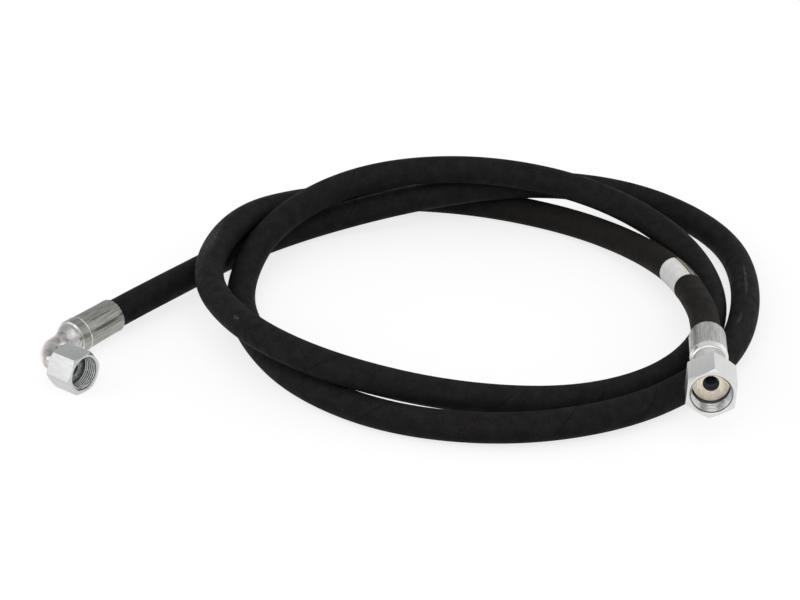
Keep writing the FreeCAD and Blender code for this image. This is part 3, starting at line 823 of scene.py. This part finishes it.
def make_turned_steel(name, frame_of, face, bore, tones, face_tones, rough):
    """A fitting's inner piece: turned steel whose sealing face has fine rings and a tint."""
    ring_pitch = 0.0004
    graph = Paint(name, {"Metallic": 1.0})
    place = graph.own_place(frame_of)
    colour, roughness, streaks = brushed(graph, place, (260, 260, 700), tones, rough)
    east, north, height = graph.parts(place)
    radius = graph.length(east, north)
    on_face = graph.ramp(height, face - 0.0006, face - 0.0002)
    brush = graph.streaks(place, (900, 130, 100), 4, 0.65)
    colour = graph.blend(on_face, colour, graph.blend(graph.ramp(brush, 0.35, 0.65), *face_tones))
    in_bore = graph.ramp(radius, bore + 0.0001, bore + 0.0003, 1, 0)
    colour = graph.blend(in_bore, colour, tone(0.18, 0.207, 0.225))
    graph.vary("Metallic", graph.minus(1, in_bore))
    roughness = graph.plus(roughness, graph.times(in_bore, 0.4))
    rings = graph.math("SINE", graph.times(radius, 2 * math.pi / ring_pitch))
    normal = graph.bump(graph.times(rings, on_face), 0.000012, graph.bump(streaks, 0.00002))
    return graph.finish(colour, roughness, normal)


def make_tube_steel(name):
    """The smooth bent tube: softly polished, with rosy and grey clouds in its plating, and a
    pinkish-white painted highlight near the elbow's corner.
    """
    graph = Paint(name, {"Metallic": 1.0})
    place = graph.own_place()
    clouds = graph.noise(place, 95, 3, 0.6)
    fine = graph.noise(place, 900, 3, 0.6)
    colour = graph.blend(graph.ramp(clouds, 0.38, 0.62), tone(0.42, 0.425, 0.41),
                         tone(0.76, 0.69, 0.66))
    colour = graph.blend(graph.ramp(fine, 0.35, 0.7, 0, 0.35), colour, tone(0.46, 0.46, 0.45))
    # A painted highlight: pinkish white near the elbow's corner, fading out within about 14 mm.
    corner_highlight_distance = graph.add("VectorMath", {0: place, 1: ELBOW_CORNER}, "Value",
                            operation="DISTANCE")
    colour = graph.blend(graph.ramp(corner_highlight_distance, 0.005, 0.014, 0.85, 0), colour,
                         tone(0.96, 0.89, 0.86))
    return graph.finish(colour, graph.ramp(fine, 0.3, 0.7, 0.18, 0.27),
                        graph.bump(fine, 0.000015))


def dress(piece, material):
    """Give a piece that is made here its only material."""
    piece.data.materials.clear()
    piece.data.materials.append(material)


def dress_node(node, material):
    """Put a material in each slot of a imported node."""
    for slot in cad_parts[node].material_slots:
        slot.material = material


dress(hose, make_rubber())
dress(label, make_white_film())
dress(film, make_clear_film())
dress(straight_ferrule, make_ferrule_steel(
    "ferrule_steel", (tone(0.34, 0.34, 0.325), tone(0.58, 0.58, 0.565), tone(0.53, 0.515, 0.465)),
    rough=(0.28, 0.42), front_highlight=0.75, shade_bands=()))
dress(elbow_ferrule, make_ferrule_steel(
    "ferrule_steel_dull", (tone(0.25, 0.25, 0.23), tone(0.47, 0.47, 0.44), tone(0.50, 0.48, 0.43)),
    rough=(0.32, 0.46), front_highlight=0.0, shade_bands=((57, 4), (22, 9))))
dress(braze, make_tube_steel("braze_steel"))
dress(straight_nut, make_nut_steel(
    "zinc_steel", STRAIGHT_NUT["thread"], depth=0.00115, mouth=0.010,
    tones=(tone(0.695, 0.695, 0.69), tone(0.745, 0.74, 0.73), tone(0.72, 0.73, 0.745))))
# The elbow nut's zinc tones are darker than the straight nut's, as painted shade.
dress(elbow_nut, make_nut_steel(
    "zinc_steel_elbow_shaded", ELBOW_NUT["thread"], depth=0.00098, mouth=0.009,
    tones=(tone(0.545, 0.55, 0.545), tone(0.625, 0.63, 0.625), tone(0.60, 0.62, 0.62))))

dress_node("straight_nipple", make_turned_steel(
    "straight_nipple_steel", STRAIGHT_PLACE, STRAIGHT_FACE_REACH, bore=0.00575,
    tones=(tone(0.66), tone(0.80), tone(0.76, 0.75, 0.71)),
    face_tones=(tone(0.71, 0.615, 0.485), tone(0.90, 0.83, 0.71)), rough=(0.26, 0.40)))
# The hose tail has no sealing face, so the height of its face lies beyond its end.
dress_node("elbow_hose_tail", make_turned_steel(
    "elbow_hose_tail_steel", ELBOW_PLACE, 0.084, bore=0.006,
    tones=(tone(0.46), tone(0.64), tone(0.70, 0.62, 0.56)),
    face_tones=(tone(0.5), tone(0.6)), rough=(0.30, 0.42)))
dress_node("elbow_face_sleeve", make_turned_steel(
    "elbow_face_sleeve_steel", MOUTH_PLACE, ELBOW_FACE_REACH, bore=0.006,
    tones=(tone(0.40), tone(0.52), tone(0.46, 0.47, 0.40)),
    face_tones=(tone(0.66, 0.67, 0.62), tone(0.97, 0.98, 0.95)), rough=(0.18, 0.30)))
dress_node("elbow_bent_tube", make_tube_steel("tube_steel"))

# bodies, and the imported nodes that the new pieces stand in for
LAYERS = ("outer_cover", "outer_wire_braid", "braid_insulation", "inner_wire_braid", "inner_tube")
for piece, body, slot, nodes in (
    (hose, "hose_and_nipples", "cover_rubber", LAYERS),
    (label, "hose_and_nipples", "white_film", ("marker_label",)),
    (film, "hose_and_nipples", "clear_film", ("label_film",)),
    (straight_ferrule, "hose_and_nipples", "ferrule_steel", ("straight_ferrule",)),
    (elbow_ferrule, "hose_and_nipples", "ferrule_steel", ("elbow_ferrule",)),
    (braze, "hose_and_nipples", "zinc_steel", ()),
    (straight_nut, "straight_nut", "zinc_steel", ("straight_swivel_nut",)),
    (elbow_nut, "elbow_nut", "zinc_steel", ("elbow_swivel_nut",)),
):
    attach(piece, body)
    if nodes:
        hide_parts(*nodes)


# floor and light
def make_floor():
    """A wide pale floor, white to the camera, in reflections and through the clear film."""
    half = 8.0
    corners = [(-half, -half, 0), (half, -half, 0), (half, half, 0), (-half, half, 0)]
    floor = new_piece("floor", corners, [(0, 1, 2, 3)])
    graph = Paint("floor", {"Base Color": tone(0.3), "Roughness": 1, "Specular IOR Level": 0,
                            "Emission Color": tone(1)})
    path = graph.add("LightPath", {}).node.outputs
    reflected = graph.greater(path["Is Glossy Ray"], path["Is Transmission Ray"])
    seen = graph.greater(path["Is Camera Ray"], reflected)
    graph.vary("Emission Strength", graph.times(seen, 0.76))
    dress(floor, graph.material)


def make_world():
    """Soft light from all around, brightest near the horizon and towards +X."""
    world = bpy.data.worlds.new("studio")
    bpy.context.scene.world = world
    world.use_nodes = True
    graph = Graph(world.node_tree)
    east, _, height = graph.parts(graph.add("TexCoord", {}, "Generated"))
    sky = graph.add("ValToRGB", {0: height})
    horizon, top = sky.node.color_ramp.elements
    horizon.position = 0.02
    horizon.color = tone(0.90)
    top.position = 0.60
    top.color = tone(0.50, 0.50, 0.505)
    side = graph.add("MapRange", {"Value": east, "From Min": -1, "From Max": 1,
                                  "To Min": 0.78, "To Max": 1.22})
    light = graph.add("VectorMath", {0: sky, "Scale": side}, operation="SCALE")
    graph.put(world.node_tree.nodes["Background"].inputs["Color"], light)


# Lamps: name, place, width and height, and watts.
LAMPS = (
    ("key", (-2.2, -0.4, 1.2), (2.2, 1.6), 12),
    ("fill", (2.2, 0.9, 0.9), (1.8, 1.2), 5),
    ("front", (-0.3, -2.2, 2.8), (4.4, 2.6), 34),
    ("top", (-0.3, -0.2, 4.0), (4.2, 4.2), 12),
)


def make_lamps():
    """Large soft lamps that all point at the middle of the hose."""
    target = Vector((0, 0.1, 0))
    for name, location, size, power in LAMPS:
        data = bpy.data.lights.new(name, "AREA")
        data.shape = "RECTANGLE"
        data.size, data.size_y = size
        data.energy = power
        lamp = bpy.data.objects.new(name, data)
        lamp.location = location
        lamp.rotation_euler = (target - Vector(location)).to_track_quat("-Z", "Y").to_euler()
        bpy.context.scene.collection.objects.link(lamp)


make_floor()
make_world()
make_lamps()
bpy.context.scene.view_settings.view_transform = "Standard"
